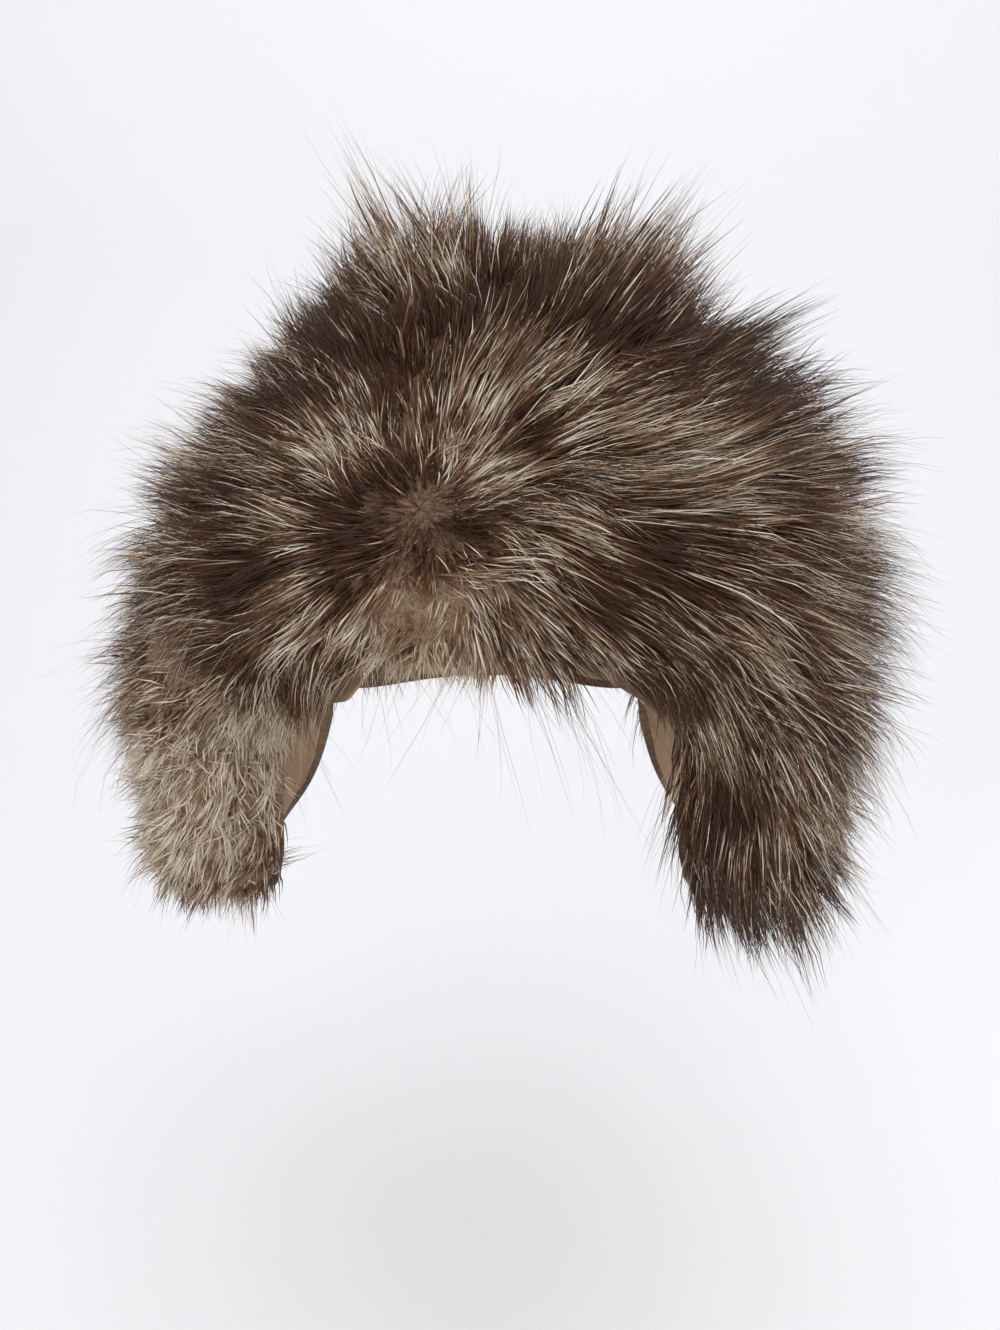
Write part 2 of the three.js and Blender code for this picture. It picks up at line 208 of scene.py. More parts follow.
# The markings of the pelt, seen in the same frame: how pale, the radius in pixels, and the places
MARKINGS = (
    # The cream fans round the parting
    (0.97, 15, (
        (345, 440), (330, 455), (355, 425), (308, 440), (262, 462), (258, 518), (282, 524), (300, 618),
        (318, 640), (290, 650), (272, 606), (470, 400), (455, 412), (482, 386), (500, 456), (488, 470),
        (512, 482), (480, 574), (500, 582), (340, 632), (276, 640), (285, 447), (305, 596), (268, 536),
        (322, 470), (236, 610), (462, 424))),
    (0.8, 18, (
        (500, 362), (520, 346), (542, 366), (566, 360), (585, 384), (530, 508), (552, 522), (566, 544),
        (596, 546), (522, 556), (345, 655), (330, 675), (474, 606), (486, 636), (518, 640), (545, 600),
        (508, 526), (440, 430))),
    # The cream band across the right side, and the streaks below it
    (0.74, 22, (
        (640, 418), (682, 430), (722, 440), (600, 400), (650, 398), (742, 462), (620, 440), (692, 412),
        (575, 430), (610, 470), (660, 460), (560, 470), (710, 755), (706, 778), (560, 500))),
    (0.52, 26, (
        (640, 500), (700, 500), (740, 510), (570, 620), (610, 645), (660, 665), (710, 645), (750, 690),
        (650, 630), (770, 730), (820, 650), (850, 700), (780, 560), (810, 610), (880, 650), (800, 700),
        (830, 750), (860, 760), (780, 640), (850, 560))),
    (0.4, 20, ((290, 335), (262, 372), (238, 430), (700, 640), (720, 680), (680, 520))),
    (0.24, 20, (
        (400, 350), (380, 372), (430, 348), (404, 416), (360, 390), (390, 396), (412, 388), (335, 405))),
    (0.66, 24, (
        (740, 850), (785, 872), (822, 850), (800, 790), (770, 760), (745, 880), (800, 830), (840, 800))),
    # The left side and its flap, grey and cream
    (0.62, 26, ((130, 590), (152, 630), (120, 680), (172, 560), (128, 640), (180, 640), (118, 730))),
    (0.95, 24, (
        (150, 700), (180, 690), (160, 740), (190, 740), (150, 790), (185, 800), (225, 800), (170, 845),
        (210, 850), (245, 850), (250, 800), (205, 710), (255, 765), (220, 760), (262, 730), (280, 760),
        (200, 875), (140, 760), (240, 830))),
    (0.58, 24, (
        (370, 215), (400, 250), (440, 235), (380, 270), (430, 275), (560, 228), (620, 205), (660, 190),
        (700, 230), (740, 280), (840, 440), (850, 500), (165, 520), (200, 905), (245, 900), (190, 470),
        (200, 430), (250, 350), (230, 390))),
    # The fuzz over the brow
    (0.76, 22, (
        (375, 650), (400, 640), (430, 630), (460, 650), (500, 660), (420, 665), (390, 610), (440, 605),
        (460, 675), (520, 675), (350, 675))),
    # The dark hair at the top, round the parting and between the bands
    (0.1, 24, (
        (320, 325), (360, 325), (400, 330), (340, 352), (300, 362), (280, 396), (430, 310), (480, 290),
        (520, 292), (560, 294), (600, 302), (640, 312), (682, 320), (722, 332), (640, 342), (590, 330),
        (230, 480), (218, 520), (232, 560), (212, 592), (244, 592), (380, 350), (250, 420))),
    (0.0, 17, (
        (380, 450), (392, 470), (412, 484), (378, 486), (318, 490), (296, 494), (342, 502), (350, 540),
        (340, 562), (330, 584), (440, 530), (462, 530), (490, 520), (456, 552), (570, 572), (420, 450),
        (705, 810), (722, 832), (748, 802), (272, 872), (700, 700))),
    (0.08, 24, (
        (622, 580), (642, 602), (600, 590), (682, 590), (700, 560), (722, 602), (660, 560), (762, 402),
        (802, 422), (782, 352), (742, 372), (802, 502), (702, 902), (762, 904), (822, 922), (690, 362),
        (540, 440))),
    (0.2, 20, ((222, 690), (240, 660), (262, 690), (300, 690), (210, 640))),
    (0.1, 16, ((400, 530), (425, 512), (415, 555), (408, 500), (388, 540), (440, 505))),
)
# How pale the hair is between the markings, and how many pixels a stroke's combing reaches
PLAIN_TONE = 0.17
COMB_REACH = 26


def smooth_step(value, low, high):
    """0 below low, 1 above high, and 3 t^2 - 2 t^3 between them."""
    share = np.clip((value - low) / (high - low), 0, 1)
    return share * share * (3 - 2 * share)


def mix(one, other, share):
    """one where share is 0, other where it is 1, and in proportion between them."""
    return one + (other - one) * share


def fade(share, power):
    """sqrt(1 - share^power): nearly 1, and falling to 0 where share comes to 1."""
    return np.sqrt(np.maximum(1 - share ** power, 0))


def unit(vectors):
    """Each vector divided by its own length."""
    return vectors / np.maximum(np.linalg.norm(vectors, axis=-1, keepdims=True), 1e-9)


def dot(one, other):
    """The dot product of each pair of vectors, kept as a column."""
    return np.sum(one * other, axis=-1, keepdims=True)


# The hat's form

def dome_angle(depth):
    """The angle along the dome: arccos(1 - depth / height), and then straight down at the same rate."""
    round_part = np.arccos(np.clip(1 - depth / DOME_HEIGHT, -1, 1))
    return np.where(depth < DOME_HEIGHT, round_part, math.pi / 2 + depth / DOME_HEIGHT - 1)


def dome_depth(angle):
    """The depth at an angle along the dome, which turns dome_angle round."""
    return np.where(angle < math.pi / 2, 1 - np.cos(angle), 1 + angle - math.pi / 2) * DOME_HEIGHT


def outward(turn, depth):
    """The normal of the ellipsoid x^2/W^2 + y^2/L^2 + (z + H)^2/H^2 = 1, level below its widest place."""
    angle = np.minimum(dome_angle(depth), math.pi / 2)
    return unit(np.stack((
        np.sin(angle) * np.sin(turn) / HALF_WIDTH,
        -np.sin(angle) * np.cos(turn) / HALF_LENGTH,
        np.cos(angle) / DOME_HEIGHT,
    ), axis=-1))


def hat_point(turn, depth, distance):
    """The hollow's wall (W sin a sin t, -L sin a cos t, -depth), moved out along its normal."""
    ring = np.sin(np.minimum(dome_angle(depth), math.pi / 2))
    wall = np.stack((HALF_WIDTH * ring * np.sin(turn), -HALF_LENGTH * ring * np.cos(turn), -depth), axis=-1)
    return wall + outward(turn, depth) * distance[..., None]


def past_brow(turn):
    """0 over the brow and 1 round the sides and the back."""
    away = np.abs(np.arctan2(np.sin(turn), np.cos(turn)))
    return smooth_step(away, *ARCH)


def crown_loft(turn, place):
    """The loft at the top, mixed into cos^2 of the front or back loft plus sin^2 of the side's."""
    ahead = np.cos(turn)
    aside = np.sin(turn)
    edge = ahead ** 2 * np.where(ahead > 0, LOFT_BROW, LOFT_BACK)
    edge = edge + aside ** 2 * np.where(aside > 0, LOFT_LEFT, LOFT_RIGHT)
    return mix(LOFT_TOP, edge, smooth_step(place, 0, 0.5))


def crown_close(turn, place):
    """The crown's close fur: ROOTS + share * loft * sqrt(1 - place^8) off the wall, lower near its edge."""
    past = past_brow(turn)
    edge = mix(BROW_DEPTH, SIDE_DEPTH, past)
    depth = dome_depth(place * dome_angle(edge))
    share = mix(CLOSE_SHARE, CLOSE_SHARE_RIGHT, np.maximum(-np.sin(turn), 0) ** 2 * place)
    height = share * crown_loft(turn, place) * fade(place, 8)
    point = hat_point(turn, depth, ROOTS + height)
    point[..., 2] -= mix(BROW_SLOPE, OVERHANG_SLOPE, past) * height * place ** 2
    return point


def flap_close(flap, across, down):
    """A flap's close fur, its height fading to the sides, the hem and the top."""
    aside = 2 * across - 1
    middle = (flap["from"] + flap["to"]) / 2
    half = (flap["to"] - flap["from"]) / 2 - flap["taper"] * down + EDGE_FUR / HALF_WIDTH
    hem = flap["depth"] + EDGE_FUR - flap["corner"] * np.abs(aside) ** 5
    share = fade(aside, 6) * fade(down, 14) * fade(1 - down, 12)
    return hat_point(middle + half * aside, mix(BROW_DEPTH, hem, down), ROOTS + flap["close"] * share)


LEFT_FLAP = {"from": FLAP_EDGES[0], "to": FLAP_EDGES[1], "taper": FLAP_TAPER, "depth": FLAP_DEPTH,
             "corner": FLAP_CORNER, "close": CLOSE_SHARE * FLAP_LOFT_LEFT}
RIGHT_FLAP = {**LEFT_FLAP, "from": -FLAP_EDGES[1], "to": -FLAP_EDGES[0],
              "close": CLOSE_SHARE_RIGHT * FLAP_LOFT_RIGHT}
NAPE = {"from": FLAP_EDGES[1], "to": 2 * math.pi - FLAP_EDGES[1], "taper": 0, "depth": NAPE_DEPTH,
        "corner": NAPE_CORNER, "close": CLOSE_SHARE_NAPE * NAPE_LOFT}


def flap_surface(flap):
    """The flap's close fur below the crown's overhang, as a surface of two parameters from 0 to 1."""
    return lambda across, down: flap_close(flap, across, mix(0.14, 1, down))


def crown_surface(first, last):
    """The crown's close fur between two turns, as a surface of two parameters from 0 to 1.

    Over the brow it ends just before the rim turns under."""
    def surface(across, down):
        turn = mix(first, last, across)
        return crown_close(turn, down * mix(0.993, 1, past_brow(turn)))
    return surface


def fringe_surface(across, down):
    """The last tenth of the crown's close fur, over the brow."""
    return crown_surface(-FRINGE_TURN, FRINGE_TURN)(across, mix(0.9, 1, down))


# The camera and what it sees

VIEW_RIGHT = np.array((1.0, 0.0, 0.0))
VIEW_FORWARD = np.array((0, math.cos(CAMERA_PITCH), math.sin(CAMERA_PITCH)))
VIEW_UP = np.cross(VIEW_RIGHT, VIEW_FORWARD)


def seen_at(points):
    """The pixels of the frame that points fall on: centre + focal * (right, -up) / forward."""
    away = points - CAMERA_PLACE
    forward = np.maximum(away @ VIEW_FORWARD, 1)
    aside = np.stack((away @ VIEW_RIGHT, -(away @ VIEW_UP)), axis=-1)
    return FRAME_CENTRE + FOCAL_PIXELS * aside / forward[:, None]


# The combing as columns: x, y, cosine and sine of the heading, lift, length and mess
STROKES = np.array([
    (x, y, math.cos(math.radians(heading)), math.sin(math.radians(heading)), lift, length, mess)
    for lift, length, mess, group in COMBING for x, y, heading in group]).T

# The markings as columns: x, y, radius and paleness
SPOTS = np.array([(x, y, radius, pale) for pale, radius, group in MARKINGS for x, y in group]).T


def gaps(points, places):
    """The squared distances in the frame, in pixels, from each point to each place."""
    pixels = seen_at(points)
    return (pixels[:, 0, None] - places[0]) ** 2 + (pixels[:, 1, None] - places[1]) ** 2


def combed(points):
    """Heading, lift, length and mess at points: the strokes' mean, weighted by exp(-d^2 / 2 reach^2).

    A faint, four times wider weight lets the nearest strokes count where none is near."""
    gap = gaps(points, STROKES)
    weight = np.exp(-gap / (2 * COMB_REACH ** 2)) + 0.003 * np.exp(-gap / (2 * (4 * COMB_REACH) ** 2))
    weight = weight + 1e-12
    weight = weight / weight.sum(axis=1, keepdims=True)
    return weight @ STROKES[2:].T


def marked(points):
    """How pale the hair is at points, 0 to 1: the markings' mean, weighted by exp(-d^2 / 2 radius^2)."""
    weight = 2.5 * np.exp(-gaps(points, SPOTS) / (2 * SPOTS[2] ** 2))
    return (0.25 * PLAIN_TONE + weight @ SPOTS[3]) / (0.25 + weight.sum(axis=1))


def mottled(points):
    """How pale the hair is where the camera doesn't see it: three slow waves, each about 40 mm long."""
    ways = np.array(((0.11, 0.05, 0.06), (-0.06, 0.10, 0.09), (0.04, -0.09, 0.13)))
    waves = np.sin(points @ ways.T + (1.3, 4.1, 0.4))
    return np.clip(0.36 + 0.17 * waves.sum(axis=-1), 0.03, 0.9)


def facing(points, normals):
    """1 where a surface faces the camera, falling to 0 just past where it turns away.

    Rims that turn under go by the hat's outward direction too, so that the hair on them is combed alike."""
    back = unit(CAMERA_PLACE - points)
    toward = np.maximum(dot(back, normals), dot(back, swell_normal(points)) - 0.1)
    return smooth_step(toward[:, 0], -0.45, 0.0)


def paleness(points, normals):
    """How pale the hair is, by the markings where the camera sees it."""
    return mix(mottled(points), marked(points), facing(points, normals))


# The hair

def swell_normal(points):
    """The hat's outward direction at any point round it, from the ellipsoid's gradient."""
    lift = np.maximum(points[:, 2] + DOME_HEIGHT, 0)
    return unit(np.stack((points[:, 0] / HALF_WIDTH ** 2, points[:, 1] / HALF_LENGTH ** 2,
                          lift / DOME_HEIGHT ** 2), axis=-1))


def whorl_flow(points, normals, hang):
    """Away from the whorl along the skin, mixed with straight down by hang."""
    whorl = hat_point(np.array([WHORL_TURN]), np.array([float(WHORL_DEPTH)]), np.zeros(1))
    way = mix(unit(points - whorl), DOWN, hang[:, None])
    return unit(way - normals * dot(way, normals))


def hair_direction(points, normals, hang, share):
    """Where the hair heads at points, a share of the way to its tips, with its length and mess.

    Where the fur turns under, it heads as if the skin went straight on, so it hangs from the rims."""
    turned = smooth_step(-normals[:, 2:], 0.1, 0.6)
    normals = unit(mix(normals, swell_normal(points), turned))
    comb = combed(points)
    seen = facing(points, normals)[:, None]
    ray = unit(points - CAMERA_PLACE)
    heading = unit(comb[:, 0, None] * VIEW_RIGHT + comb[:, 1, None] * VIEW_UP)
    slope = np.minimum(dot(ray, normals), -0.2)
    along = unit(heading + ray * np.clip(-dot(heading, normals) / slope, -1, 1))
    way = unit(mix(whorl_flow(points, normals, hang), along, seen))
    lift = np.radians(mix(UNSEEN_LIFT, comb[:, 2, None], seen)) * mix(1.5, 0.75, share)
    way = unit(way * np.cos(lift) + normals * np.sin(lift))
    way = unit(way + normals * np.maximum(0.05 - dot(way, normals), 0))
    unseen = mix(UNSEEN_LENGTH, UNSEEN_HEM_LENGTH, smooth_step(-points[:, 2], SIDE_DEPTH, FLAP_DEPTH))
    return way, mix(unseen, comb[:, 3], seen[:, 0]), mix(UNSEEN_MESS, comb[:, 4], seen[:, 0])


def shortness(points, normals, low=10, high=20):
    """1 where the camera sees hair shorter than low, as fuzz is, and 0 where it is longer than high."""
    return (1 - smooth_step(combed(points)[:, 3], low, high)) * facing(points, normals)


def scatter(surface, count, rng, sparse=0.0):
    """Points spread over a surface by its area, with their normals.

    They are thicker where the camera sees them or the hair is short, thinner by sparse where there is only
    fuzz, and few on hidden rims. The tries crowd towards the surface's borders as (1 - cos pi r) / 2, and
    the chance of each goes by the area that it stands for."""
    tries = count * TRIES_PER_HAIR
    rank = rng.random((2, tries))
    across, down = (1 - np.cos(math.pi * rank)) / 2
    steps = (-0.001, 0.001)
    left, right = (surface(np.clip(across + step, 0, 1), down) for step in steps)
    over, under = (surface(across, np.clip(down + step, 0, 1)) for step in steps)
    points = surface(across, down)
    area = np.cross(under - over, right - left)
    if np.mean(dot(area, swell_normal(points))) < 0:
        area = -area
    size = np.linalg.norm(area, axis=1)
    normals = area / np.maximum(size, 1e-9)[:, None]
    seen = facing(points, normals)
    wanted = size * np.prod(np.sin(math.pi * rank), axis=0)
    wanted = wanted * mix(0.4, np.clip(36 / combed(points)[:, 3], 0.9, 2.6), seen)
    wanted = wanted * (1 - sparse * shortness(points, normals))
    wanted = wanted * mix(smooth_step(dot(normals, swell_normal(points))[:, 0], -0.5, 0.5), 1, seen)
    chosen = rng.choice(tries, count, replace=False, p=wanted / wanted.sum())
    return points[chosen], normals[chosen]


def nearest(points, centres):
    """The index of the centre nearest to each point, worked out a block at a time."""
    found = np.empty(len(points), dtype=np.int64)
    for start in range(0, len(points), BLOCK):
        block = points[start:start + BLOCK]
        gap = (block ** 2).sum(axis=1)[:, None] + (centres ** 2).sum(axis=1) - 2 * block @ centres.T
        found[start:start + BLOCK] = gap.argmin(axis=1)
    return found


def grow(roots, normals, hang, segments, stretch, lean, rng):
    """The nodes of each hair: steps of length / segments along the combed direction, bending as it goes.

    lean is a sideways share of the step that a whole lock has in common."""
    jitter = rng.normal(size=(len(roots), 3))
    nodes = [roots - normals * ROOT_DEPTH]
    for step in range(segments):
        share = step / (segments - 1)
        point = nodes[-1]
        skin = unit(mix(normals, swell_normal(point), 0.5 * share))
        way, length, mess = hair_direction(point, skin, hang, share)
        stray = np.tan(np.radians(mess))[:, None]
        if step == 0:
            reach = length * stretch
            aside = (jitter * 0.7 + lean) * stray
        kink = rng.normal(size=(len(roots), 3)) * stray * 0.2
        way = unit(way + aside + kink + DOWN * 0.12 * share)
        nodes.append(point + way * (reach / segments)[:, None])
    return np.stack(nodes, axis=1)


def make_locks(surface, count, hang_from, seed):
    """The locks that the hair over a surface falls into: their middle hairs, and what their hairs share."""
    rng = np.random.default_rng(seed)
    roots, normals = scatter(surface, count, rng)
    return {"roots": roots, "normals": normals, "hang": hang_at(roots, hang_from),
            "stretch": 0.83 + 0.42 * rng.random(count) ** 4, "lean": rng.normal(size=(count, 3)),
            "pull": rng.uniform(0.15, 0.85, count), "tone": rng.normal(size=count),
            "start": rng.uniform(0.05, 0.5, count), "length": rng.uniform(0.3, 0.6, count)}


def hang_at(points, hang_from):
    """How much gravity draws the hair straight down: 0 at hang_from below the top, and more below it."""
    return np.clip(smooth_step(-points[:, 2], hang_from, hang_from + HANG_RISE), 0, HANG_MOST)


def gather(nodes, stretch, locks, owner, segments, rng):
    """Draws each hair towards its lock's middle hair, cut to its own length, more so near the tips."""
    middle = grow(locks["roots"], locks["normals"], locks["hang"], segments, locks["stretch"],
                  locks["lean"], np.random.default_rng(0))
    base = middle[owner, :1]
    target = base + (middle[owner] - base) * (stretch / locks["stretch"][owner])[:, None, None]
    pull = locks["pull"][owner] * rng.uniform(0.5, 1, len(nodes))
    share = np.linspace(0, 1, segments + 1) ** 1.3
    return nodes + (target - nodes) * pull[:, None, None] * share[None, :, None]


def keep_within(nodes, low, high):
    """Shortens each hair that passes its box, by drawing all of it back towards its root."""
    root = nodes[:, :1]
    reach = nodes - root
    room = np.where(reach > 0, high - root, low - root)
    moves = np.abs(reach) > 1e-6
    share = np.min(np.where(moves, room / np.where(moves, reach, 1), 1), axis=(1, 2))
    return root + reach * np.clip(share, 0.05, 1)[:, None, None]


def needles(nodes, normals, radius, flatness):
    """Closed three-sided hairs: flattened rings of radius r (1 - t)^0.7 round the nodes, then a tip."""
    count, rows = nodes.shape[:2]
    along = unit(np.gradient(nodes, axis=1))
    # A hair that stands straight up still has a side, because the normal is tipped a little
    side = unit(np.cross(along, normals[:, None, :] + VIEW_RIGHT * 0.2))
    rise = np.cross(side, along)
    share = np.linspace(0, 1, rows)[:-1]
    thick = radius[:, None] * (1 - share) ** 0.7
    corner = math.pi / 2 + np.arange(3) * 2 * math.pi / 3
    ring = side[:, :-1, None] * np.cos(corner)[:, None]
    ring = ring + rise[:, :-1, None] * np.sin(corner)[:, None] * flatness
    ring = nodes[:, :-1, None] + ring * thick[..., None, None]
    points = np.concatenate((ring.reshape(count, -1, 3), nodes[:, -1:]), axis=1)

    index = np.arange((rows - 1) * 3).reshape(-1, 3)
    sides = grid_faces(index, True)[:, ::-1]
    tip = np.stack((index[-1], np.roll(index[-1], -1), np.full(3, index.size)), -1)
    one = np.concatenate((sides, tip, [[2, 1, 0]]))
    faces = one[None] + (np.arange(count) * (index.size + 1))[:, None, None]
    return points.reshape(-1, 3), faces.reshape(-1, 3), one


def hair_colours(nodes, normals, locks, owner, one, layer, rng):
    """The place of each face corner on the colour chart: u is how pale the hair is, v a streak across it.

    A hair is silver where the markings are paler than its own random share and within the silver band of
    its lock, and brown elsewhere. Every hair is darker over its first quarter, partly its own darker root
    and partly painted shade deep in the fur. Short fuzz goes by the markings' tone alone."""
    count, rows = nodes.shape[:2]
    level = paleness(nodes.reshape(-1, 3), np.repeat(normals, rows, axis=0)).reshape(count, rows)
    spread = 0.03 + 0.75 * level * (1 - level)
    level = np.clip(level + locks["tone"][owner][:, None] * spread, 0, 1)
    share = np.linspace(0, 1, rows) * mix(1, layer["stretch"][1], 0.5)
    start = locks["start"][owner][:, None] + rng.normal(0, 0.07, count)[:, None]
    length = locks["length"][owner][:, None]
    band = smooth_step(share - start, -0.12, 0.06)
    band = band * (1 - 0.8 * smooth_step(share - start - length, -0.06, 0.14))
    silver = smooth_step(level * layer["silver"] - rng.random(count)[:, None], -0.12, 0.12) * band
    short = shortness(nodes[:, 0], normals, 18, 23)[:, None]
    brown = 0.09 + mix(0.22, 0.72, short) * level ** 1.4 + rng.normal(0, 0.035, count)[:, None]
    tone = mix(brown, rng.uniform(0.76, 1, count)[:, None], silver)
    fuzz = shortness(nodes[:, 0], normals)[:, None]
    tone = mix(tone, mix(0.2, 0.6, level), fuzz * 0.9)
    # Down to 0.68 at the root: partly the hair's own darker root, partly painted shade deep in the fur
    pale = np.clip(tone * mix(0.68, 1, smooth_step(share, 0, 0.25)), 0.02, 0.98)
    first = rng.uniform(0.01, 0.95, count)
    across = np.array((0.5, 0.0, 1.0)) * layer["streaks"]
    # A hair's points are numbered three to a ring
    return np.stack((pale[:, one // 3], first[:, None, None] + across[one % 3]), axis=-1).reshape(-1, 2)


# Meshes

def add_object(name, data):
    """An object of that data, added to the scene."""
    thing = bpy.data.objects.new(name, data)
    bpy.context.scene.collection.objects.link(thing)
    return thing


def put_mesh(name, points, faces):
    """A smooth mesh of triangles, its points given in millimetres, added to the scene."""
    mesh = bpy.data.meshes.new(name)
    mesh.vertices.add(len(points))
    mesh.vertices.foreach_set("co", (points * MM).astype(np.float32).ravel())
    mesh.loops.add(faces.size)
    mesh.loops.foreach_set("vertex_index", faces.astype(np.int32).ravel())
    mesh.polygons.add(len(faces))
    mesh.polygons.foreach_set("loop_start", np.arange(0, faces.size, 3, dtype=np.int32))
    mesh.polygons.foreach_set("use_smooth", np.ones(len(faces), dtype=bool))
    mesh.update(calc_edges=True)
    return add_object(name, mesh)


def grid_faces(index, wrap):
    """The triangles between the rows and columns of a grid of indices, without those that lack area."""
    if wrap:
        index = np.concatenate((index, index[:, :1]), axis=1)
    here, under = index[:-1, :-1], index[1:, :-1]
    beside, across = index[:-1, 1:], index[1:, 1:]
    faces = np.stack((here, under, across, here, across, beside), -1).reshape(-1, 3)
    return faces[(faces != np.roll(faces, 1, axis=1)).all(axis=1)]


def shell(outer, inner, wrap):
    """A closed shell of two grids that meet all round, or round a pole only in their last row."""
    rows, columns = outer.shape[:2]
    outer_index = np.arange(rows * columns).reshape(rows, columns)
    inner_index = outer_index + rows * columns
    inner_index[-1] = outer_index[-1]
    if wrap:
        outer_index[0] = outer_index[0, 0]
        inner_index[0] = inner_index[0, 0]
    else:
        inner_index[0] = outer_index[0]
        inner_index[:, [0, -1]] = outer_index[:, [0, -1]]
    faces = np.concatenate((grid_faces(outer_index, wrap), grid_faces(inner_index, wrap)[:, ::-1]))
    used, faces = np.unique(faces, return_inverse=True)
    points = np.concatenate((outer.reshape(-1, 3), inner.reshape(-1, 3)))[used]
    return points, faces.reshape(-1, 3)


def crown_body():
    """The crown's close fur as a closed shell."""
    rows, columns = CROWN_GRID
    turns = np.linspace(-math.pi, math.pi, columns, endpoint=False)
    down, turn = np.meshgrid(np.linspace(0, 1, rows), turns, indexing="ij")
    outer = crown_close(turn, down)
    edge = mix(BROW_DEPTH, SIDE_DEPTH, past_brow(turn))
    inner = hat_point(turn, dome_depth(down * dome_angle(edge)), np.full(down.shape, ROOTS))
    return shell(outer, inner, True)


def flap_body(flap):
    """A flap's close fur as a closed shell, whose two faces meet round its border."""
    down, across = np.meshgrid(*(np.linspace(0, 1, number) for number in FLAP_GRID), indexing="ij")
    outer = flap_close(flap, across, down)
    inner = flap_close({**flap, "close": 0}, across, down)
    return shell(outer, inner, False)


def outward_faces(points, faces):
    """The faces, turned round if they enclose a negative volume."""
    a, b, c = (points[corner] for corner in faces.T)
    return faces[:, ::-1] if np.sum(a * np.cross(b, c)) < 0 else faces


# Materials

def linear(hex_colour):
    """A colour written as sRGB hex, in linear light."""
    parts = [int(hex_colour[i:i + 2], 16) / 255 for i in (1, 3, 5)]
    return tuple(p / 12.92 if p <= 0.04045 else ((p + 0.055) / 1.055) ** 2.4 for p in parts)


def add_node(material, kind, inputs=None, **attributes):
    """Adds a node, sets its attributes, and gives its inputs their values or links them to outputs."""
    node = material.node_tree.nodes.new(kind)
    for name, value in attributes.items():
        setattr(node, name, value)
    for name, value in (inputs or {}).items():
        if isinstance(value, bpy.types.NodeSocket):
            material.node_tree.links.new(value, node.inputs[name])
        else:
            node.inputs[name].default_value = value
    return node


def add_value(material, operation, *operands):
    """The result of an operation on numbers or on other nodes' outputs."""
    node = add_node(material, "ShaderNodeMath", dict(enumerate(operands)), operation=operation)
    return node.outputs["Value"]


def new_material(name):
    """A material that has no nodes yet."""
    material = bpy.data.materials.new(name)
    material.use_nodes = True
    material.node_tree.nodes.clear()
    return material


def add_ramp(material, value, stops):
    """The colours of a ramp over a value, each of its stops a position and a colour in linear light."""
    node = add_node(material, "ShaderNodeValToRGB", {"Fac": value})
    ramp = node.color_ramp
    while len(ramp.elements) < len(stops):
        ramp.elements.new(0.5)
    for element, (position, colour) in zip(ramp.elements, stops):
        element.position = position
        element.color = (*colour, 1)
    return node.outputs["Color"]


def finish_material(material, inputs):
    """The material, ended in a Principled shader and its output."""
    shader = add_node(material, "ShaderNodeBsdfPrincipled", inputs)
    add_node(material, "ShaderNodeOutputMaterial", {"Surface": shader.outputs["BSDF"]})
    return material


def hair_tones(settings):
    """The colours of dark, brown and cream hair, in linear light."""
    return [np.array(tone) for tone in (settings.dark_hair, settings.brown_hair, settings.cream_hair)]


def hair_stops(settings, grey):
    """A ramp from dark through brown to cream hair, each stop mixed with its own grey by a share."""
    dark, brown, cream = hair_tones(settings)
    stops = ((0.0, dark), (0.2, mix(dark, brown, 0.28)), (0.42, brown), (0.62, mix(brown, cream, 0.37)),
             (0.82, cream), (1.0, mix(cream, 1, 0.8)))
    return [(position, mix(colour, colour.mean(), grey)) for position, colour in stops]


def guard_hair(settings):
    """Fox hair: smooth tapering hairs, dark and cream, whose gloss runs along them in thin lines."""
    material = new_material("fox_guard_hair")
    chart = add_node(material, "ShaderNodeUVMap", uv_map="OFBake")
    split = add_node(material, "ShaderNodeSeparateXYZ", {"Vector": chart.outputs["UV"]})
    # Hairs side by side in a wisp, about seven across the 0.05 of the chart that it covers
    streak = add_node(material, "ShaderNodeTexNoise", {"W": split.outputs["Y"], "Scale": 150, "Detail": 1},
                      noise_dimensions="1D")
    # Pale hair is streaked with dark hairs, and dark hair stays nearly even
    either_way = add_value(material, "SUBTRACT", streak.outputs["Fac"], 0.5)
    contrast = add_value(material, "MULTIPLY_ADD", split.outputs["X"], 1.3, 0.15)
    pale = add_value(material, "MULTIPLY_ADD", either_way, contrast, split.outputs["X"])
    pale.node.use_clamp = True
    warm, cool = (add_ramp(material, pale, hair_stops(settings, grey)) for grey in (0, 0.08))
    # Inputs 6 and 7 and output 2 of the mix are its colours
    blend = add_node(material, "ShaderNodeMix", {"Factor": split.outputs["Y"], 6: warm, 7: cool},
                     data_type="RGBA")
    return finish_material(material, {"Base Color": blend.outputs[2], "Roughness": 0.5, "IOR": 1.31})


